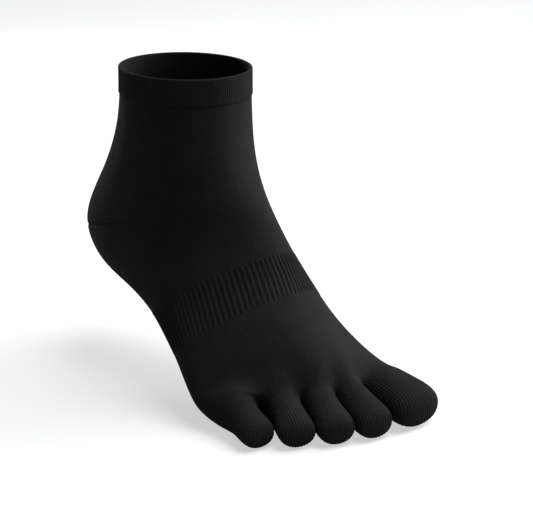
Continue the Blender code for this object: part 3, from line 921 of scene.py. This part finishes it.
@dataclass
class Cuff:
    """The doubled, finely ribbed band at the top, folded over at its rim and hemmed below."""
    knitting: Knitting
    ribs_per_column: int = 7
    samples: int = 6
    rib_depth: float = 0.00012
    inner_fade: float = 0.8
    lip_steps: int = 10
    hem_steps: int = 5
    wall_steps: int = 12

    def profile(self) -> np.ndarray:
        """Section of the cuff from the hem up, over the rim and down inside.

        Returns:
            Rows of depth below the rim, offset outwards, the outward and upward parts of its normal, and how
            strongly the ribs show.
        """
        size = self.knitting.cage.sizes
        step, wall = size.cuff_step, size.cuff_wall
        radius = wall / 2
        rows = []
        for i in range(self.hem_steps + 1):
            angle = math.pi / 2 * i / self.hem_steps
            rows.append((size.cuff_height - step + step * math.cos(angle), step * math.sin(angle),
                         math.sin(angle), -math.cos(angle), i / self.hem_steps))
        for share in np.linspace(0, 1, self.wall_steps + 1)[1:]:
            rows.append((mix(size.cuff_height - step, radius, share), step, 1.0, 0.0, 1.0))
        for i in range(1, self.lip_steps + 1):
            angle = math.pi * i / self.lip_steps
            rows.append((radius - radius * math.sin(angle), step - radius + radius * math.cos(angle),
                         math.cos(angle), math.sin(angle), 1.0 - self.inner_fade * i / self.lip_steps))
        for share in np.linspace(0, 1, self.wall_steps + 1)[1:]:
            rows.append((mix(radius, size.cuff_height, share), step - wall, -1.0, 0.0,
                         1.0 - self.inner_fade))
        return np.array(rows)

    def build(self, finish: bpy.types.Material) -> bpy.types.Object:
        """Make the cuff's mesh."""
        size = self.knitting.cage.sizes
        depth, offset, out, up, weight = self.profile().T
        columns = np.arange(0, COLUMNS, 1 / (self.ribs_per_column * self.samples))
        points, normals = self.knitting.skin.sample(depth / size.cuff_height, columns)
        flat = normals * (1.0, 1.0, 0.0)
        flat /= np.linalg.norm(flat, axis=2, keepdims=True)
        rib = np.cos(TURN * columns * self.ribs_per_column) * self.rib_depth / 2
        lift = weight[:, None] * (rib[None, :] - self.rib_depth / 2)
        points[..., 2] = -depth[:, None]
        points += flat * (offset[:, None] + out[:, None] * lift)[..., None]
        points[..., 2] += up[:, None] * lift
        run = np.concatenate([[0.0], np.cumsum(np.hypot(np.diff(depth), np.diff(offset)))])
        wale = np.append(columns, COLUMNS) * self.ribs_per_column
        course = -run / self.knitting.course_pitch
        stitch = np.stack(np.meshgrid(wale, course), axis=-1)
        return make_piece("cuff_ribbing", [turned(lattice(points, stitch))], [finish])


@dataclass
class LegAndHeel:
    """The plain knit of the leg and the heel pocket, with the gore line where the pocket is turned."""
    knitting: Knitting
    columns_each: int = 16
    row_steps: int = 14
    gore_reach: float = 7.4
    gore_width: float = 0.0010
    gore_depth: float = 0.00045

    def build(self, finishes: list[bpy.types.Material]) -> bpy.types.Object:
        """Make the leg and the heel as an upper and a lower patch that meet at the gore line."""
        knitting = self.knitting
        columns = np.arange(0, COLUMNS, 1 / self.columns_each)
        top, gore, low = knitting.row("cuff_low"), knitting.gore_row, knitting.row("band_top")
        patches = []
        for first, last, on_foot in ((top - 0.06, gore, False), (gore, low, True)):
            rows = self.rows_to_gore(first, last, gore)
            points, normals = knitting.skin.sample(rows, columns)
            stitch = knitting.stitch(points, columns, on_foot, knitting.wales_per_column)
            groove = self.gore_groove(rows, columns, points)
            relief = -self.gore_depth * groove
            # The gore groove is also painted into the colour as shade along its line
            patches.append(lattice(points + normals * relief[..., None], stitch, seam=groove))
            inner = points - normals * knitting.cage.sizes.knit_wall
            patches.append(turned(lattice(inner[::2, ::2], stitch[::2, ::2], side=1)))
        return make_piece("leg_and_heel_knit", patches, finishes)

    def rows_to_gore(self, first: float, last: float, gore: float) -> np.ndarray:
        """Rows of a patch, closer together near the gore line; an odd number of them."""
        count = 2 * round((last - first) * self.row_steps / 2)
        share = np.linspace(0, 1, count + 1)
        crowd = share ** 1.5 if first == gore else 1 - (1 - share) ** 1.5
        return first + (last - first) * crowd

    def gore_groove(self, rows: np.ndarray, columns: np.ndarray, points: np.ndarray) -> np.ndarray:
        """Share of the gore line's depth at each point, fading out towards the front of the ankle."""
        line = int(np.argmin(np.abs(rows - self.knitting.gore_row)))
        away = np.linalg.norm(points - points[line], axis=2)
        from_back = np.abs(columns - COLUMNS / 2)
        fade = 1 - ease(self.gore_reach - 3, self.gore_reach, from_back)
        return np.exp(-(away / self.gore_width) ** 2) * fade[None, :]


@dataclass
class ArchBand:
    """The elastic band round the arch, in coarse raised ribs that run along the foot."""
    knitting: Knitting
    ribs_per_column: int = 4
    samples: int = 10
    row_steps: int = 22
    rib_depth: float = 0.00048
    sink: float = 0.0001
    end_taper: float = 0.0012

    def build(self, finishes: list[bpy.types.Material]) -> bpy.types.Object:
        """Make the band's ribbed outside and its plain inside."""
        knitting = self.knitting
        first, last = knitting.row("band_top"), knitting.row("band_low")
        columns = np.arange(0, COLUMNS, 1 / (self.ribs_per_column * self.samples))
        rows = np.linspace(first, last, self.row_steps * (last - first) + 1)
        points, normals = knitting.skin.sample(rows, columns)
        steps = np.linalg.norm(np.diff(points, axis=0), axis=2)
        run = np.concatenate([np.zeros((1, len(columns))), np.cumsum(steps, axis=0)])
        ends = ease(0, self.end_taper, run) * ease(0, self.end_taper, run[-1:] - run)
        ridge = 1 - np.abs(np.sin(math.pi * columns * self.ribs_per_column)) ** 2.5
        relief = ends * (ridge[None, :] * self.rib_depth - self.rib_depth / 2 - self.sink / 2)
        stitch = knitting.stitch(points, columns, True, self.ribs_per_column)
        outer = lattice(points + normals * relief[..., None], stitch)
        inner = points - normals * knitting.cage.sizes.knit_wall
        sparse = slice(None, None, self.samples // 2)
        stitch_in = knitting.stitch(inner[::2, sparse], columns[sparse], True, knitting.wales_per_column)
        lining = turned(lattice(inner[::2, sparse], stitch_in, side=1))
        return make_piece("arch_band_ribs", [outer, lining], finishes)


@dataclass
class Forefoot:
    """The plain knit over the instep and the ball, up to the toe roots."""
    knitting: Knitting
    columns_each: int = 16
    row_steps: int = 16

    def build(self, finishes: list[bpy.types.Material]) -> bpy.types.Object:
        """Make the forefoot's two faces."""
        knitting = self.knitting
        first, last = knitting.row("band_low"), knitting.row("front_edge")
        columns = np.arange(0, COLUMNS, 1 / self.columns_each)
        rows = np.linspace(first, last, self.row_steps * (last - first) + 1)
        points, normals = knitting.skin.sample(rows, columns)
        stitch = knitting.stitch(points, columns, True, knitting.wales_per_column)
        inner = points - normals * knitting.cage.sizes.knit_wall
        lining = turned(lattice(inner[::2, ::2], stitch[::2, ::2], side=1))
        return make_piece("forefoot_knit", [lattice(points, stitch), lining], finishes)


@dataclass
class Toe:
    """One toe tube, ribbed along its length and over its tip."""
    knitting: Knitting
    tube: ToeTube
    lining_skin: Skin
    rib_depth: float = 0.00018
    side_fade: float = 0.004
    top_fade: float = 0.015
    bend_along: float = 0.45

    def place_on_toe(self, points: np.ndarray) -> tuple[np.ndarray, np.ndarray, np.ndarray]:
        """Place of points in the toe's own terms.

        Args:
            points: any number of points, in the row frame.

        Returns:
            How far along the toe each is, and its sideways and upward place in shares of the section.
        """
        tube, lift = self.tube, np.array(self.tube.cage.sizes.rim_centre)
        flat = (points + lift)[..., :2] - np.array(tube.start)
        along = flat @ np.array(tube.along)
        stations = np.array([0.0] + [ring.along for ring in TOE_RINGS[:3]]) * tube.reach
        ends = [(tube.root[0].z, tube.root[4].z)] + [tube.ring_ends(ring) for ring in TOE_RINGS[:3]]
        widths = [tube.half_width] + [tube.half_width * ring.width for ring in TOE_RINGS[:3]]
        top = np.interp(along, stations, [end[0] for end in ends])
        under = np.interp(along, stations, [end[1] for end in ends])
        sideways = flat @ np.array(tube.across) / np.interp(along, stations, widths)
        upward = (points[..., 2] + lift[2] - (top + under) / 2) / ((top - under) / 2)
        return along, sideways, upward

    def rib_places(self, points: np.ndarray, sign: np.ndarray) -> tuple[np.ndarray, np.ndarray]:
        """Rib number and course number of points.

        Args:
            points: any number of points.
            sign: 1 for what lies on the toe's upper half and -1 for the lower, in a matching shape.

        Returns:
            Ribs round the toe from its top, and courses along it.
        """
        tube = self.tube
        along, sideways, upward = self.place_on_toe(points)
        bend = self.bend_along * tube.reach
        past = (np.maximum(along - bend, 0) / (tube.cage.tip_along * tube.reach - bend)) ** 2
        around = np.arctan2(sideways, sign * np.hypot(upward, past))
        over = np.arctan2(past, np.abs(upward)) * tube.height / 2
        run = np.minimum(along, bend) + over
        return around * tube.row.ribs / TURN, run / self.knitting.course_pitch

    def patch(self, skin: Skin, relief: bool, side: int) -> Patch:
        """One face of the toe.

        Args:
            skin: the smoothed sock to cut it from.
            relief: True raises the ribs on it.
            side: the material's index, above 0 for the inside.

        Returns:
            The patch.
        """
        quads = skin.quads[skin.owners == self.tube.index + 1]
        used, faces = np.unique(quads, return_inverse=True)
        faces = faces.reshape(-1, 4)
        points, normals = skin.points[used], skin.normals[used]
        along, sideways, upward = self.place_on_toe(points)
        sign = np.where(upward[faces].mean(axis=1) >= 0, 1.0, -1.0)[:, None]
        ribs, courses = self.rib_places(points[faces], np.broadcast_to(sign, faces.shape))
        jump = ribs - ribs[:, :1]
        ribs = ribs - np.rint(jump / self.tube.row.ribs) * self.tube.row.ribs
        topness = np.clip(upward / np.hypot(upward, sideways), 0, 1)
        fade_end = mix(self.side_fade, self.top_fade, topness)
        shown = ease(0, 1, (along + self.side_fade / 2) / fade_end)
        if relief:
            number, _ = self.rib_places(points, np.where(upward >= 0, 1.0, -1.0))
            ridge = 1 - np.abs(np.sin(math.pi * number)) ** 2
            points = points + normals * ((ridge - 0.5) * self.rib_depth * shown)[:, None]
        else:
            points = points - normals * self.tube.cage.sizes.knit_wall
        return Patch(points, faces, np.stack([ribs, courses], axis=-1), side, shown)

    def build(self, finishes: list[bpy.types.Material]) -> bpy.types.Object:
        """Make the toe's ribbed outside and its plain inside."""
        outer = self.patch(self.knitting.skin, relief=True, side=0)
        inner = turned(self.patch(self.lining_skin, relief=False, side=1))
        return make_piece(self.tube.row.name + "_ribs", [outer, inner], finishes)


@dataclass
class Studio:
    """Pale floor, soft lights and the camera at the photo's angle."""
    floor_height: float
    azimuth: float = 50.08
    elevation: float = 18.09
    distance: float = 0.9127
    focal_px: float = 1704.8
    frame_px: float = 533.0
    target: tuple[float, float, float] = (0.0510, 0.0140, -0.0958)
    floor_colour: Colour = (0.40, 0.405, 0.405, 1.0)
    floor_roughness: float = 0.9
    floor_specular: float = 0.1
    floor_glow: float = 0.56
    floor_half: float = 6.0
    world_colour: Colour = (0.95, 0.97, 1.0, 1.0)
    world_strength: float = 0.12

    def aim(self, item: bpy.types.Object, place: Vector, target: Vector) -> None:
        """Put a light or the camera in place, looking at a point."""
        item.location = place
        item.rotation_mode = "QUATERNION"
        item.rotation_quaternion = (target - place).to_track_quat("-Z", "Y")
        bpy.context.scene.collection.objects.link(item)

    def back(self) -> Vector:
        """Direction from the target towards the camera."""
        a, e = math.radians(self.azimuth), math.radians(self.elevation)
        return Vector((math.sin(a) * math.cos(e), -math.cos(a) * math.cos(e), math.sin(e)))

    def camera(self) -> None:
        """Camera at the angle that the photo was taken from."""
        lens = bpy.data.cameras.new("photo_camera")
        lens.lens = lens.sensor_width * self.focal_px / self.frame_px
        lens.clip_start = 0.01
        item = bpy.data.objects.new("photo_camera", lens)
        target = Vector(self.target)
        self.aim(item, target + self.back() * self.distance, target)
        bpy.context.scene.camera = item

    def softbox(self, name: str, right: float, forward: float, up: float, size: float, power: float) -> None:
        """A square soft light placed as the camera sees it.

        Args:
            name: the light's name.
            right: how far to the right of the sock, in metres.
            forward: how far towards the camera.
            up: how far above it.
            size: the light's side.
            power: in watts.
        """
        a = math.radians(self.azimuth)
        rightward, toward = Vector((math.cos(a), math.sin(a), 0)), Vector((math.sin(a), -math.cos(a), 0))
        light = bpy.data.lights.new(name, "AREA")
        light.shape = "SQUARE"
        light.size = size
        light.energy = power
        target = Vector(self.target)
        place = target + rightward * right + toward * forward + Vector((0, 0, up))
        self.aim(bpy.data.objects.new(name, light), place, target)

    def floor(self) -> None:
        """A wide pale floor; to the camera it also glows a little, so that it stays white to its far end."""
        mesh = bpy.data.meshes.new("floor")
        half, z = self.floor_half, self.floor_height
        mesh.from_pydata([(-half, -half, z), (half, -half, z), (half, half, z), (-half, half, z)], [],
                         [(0, 1, 2, 3)])
        material = bpy.data.materials.new("pale_floor")
        material.use_nodes = True
        bench = Bench(material.node_tree)
        shader = material.node_tree.nodes["Principled BSDF"]
        shader.inputs["Base Color"].default_value = self.floor_colour
        shader.inputs["Roughness"].default_value = self.floor_roughness
        shader.inputs["Specular IOR Level"].default_value = self.floor_specular
        shader.inputs["Emission Color"].default_value = (1.0, 1.0, 1.0, 1.0)
        seen = bench.node("ShaderNodeLightPath").outputs["Is Camera Ray"]
        bench.feed(shader.inputs["Emission Strength"], bench.math("MULTIPLY", seen, self.floor_glow))
        mesh.materials.append(material)
        floor = bpy.data.objects.new("floor", mesh)
        bpy.context.scene.collection.objects.link(floor)
        floor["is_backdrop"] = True

    def surround(self) -> None:
        """Even pale light from all round."""
        world = bpy.data.worlds.new("studio")
        world.use_nodes = True
        background = world.node_tree.nodes["Background"]
        background.inputs["Color"].default_value = self.world_colour
        background.inputs["Strength"].default_value = self.world_strength
        bpy.context.scene.world = world

    def build(self) -> None:
        """Set up the whole studio."""
        bpy.context.scene.view_settings.view_transform = "Standard"
        self.camera()
        self.floor()
        self.surround()
        self.softbox("key_softbox", 0.95, -0.15, 2.10, 1.90, 75.0)
        self.softbox("edge_softbox", 0.85, -0.42, 0.34, 0.35, 7.0)
        self.softbox("heel_softbox", -0.58, -0.88, 0.20, 0.12, 2.0)


def corners(box: tuple[Vector, Vector]) -> list[list[float]]:
    """A box as plain lists of numbers."""
    return [list(map(float, corner)) for corner in box]


def main() -> None:
    """Build the sock zone by zone over the frame, then the studio round it."""
    logging.basicConfig(level=logging.INFO, format="%(name)s: %(message)s")
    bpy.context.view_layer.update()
    cage = Cage()
    tubes = [ToeTube(cage, index) for index in range(len(TOE_ROWS))]
    maker = SkinMaker(cage, tubes)
    skin, lining_skin = maker.smooth(SKIN_LEVELS), maker.smooth(LINING_LEVELS)
    knitting = Knitting(skin, cage)
    groups = {tree.name: tree for tree in (loops_group(), ribs_group(), uneven_group(), yarn_group())}
    inside = INSIDE_KNIT.make(groups)
    plain, band, toe_knit = (finish.make(groups) for finish in (PLAIN_KNIT, BAND_KNIT, TOE_KNIT))
    dress(Cuff(knitting).build(CUFF_KNIT.make(groups)), Zone.CUFF.value)
    dress(LegAndHeel(knitting).build([plain, inside]), Zone.LEG_AND_HEEL.value)
    dress(ArchBand(knitting).build([band, inside]), Zone.ARCH_BAND.value)
    dress(Forefoot(knitting).build([plain, inside]), Zone.FOREFOOT.value)
    for tube in tubes:
        dress(Toe(knitting, tube, lining_skin).build([toe_knit, inside]), tube.row.name)
    Studio(floor_height=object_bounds()[0].z).build()


if __name__ == "__main__":
    main()
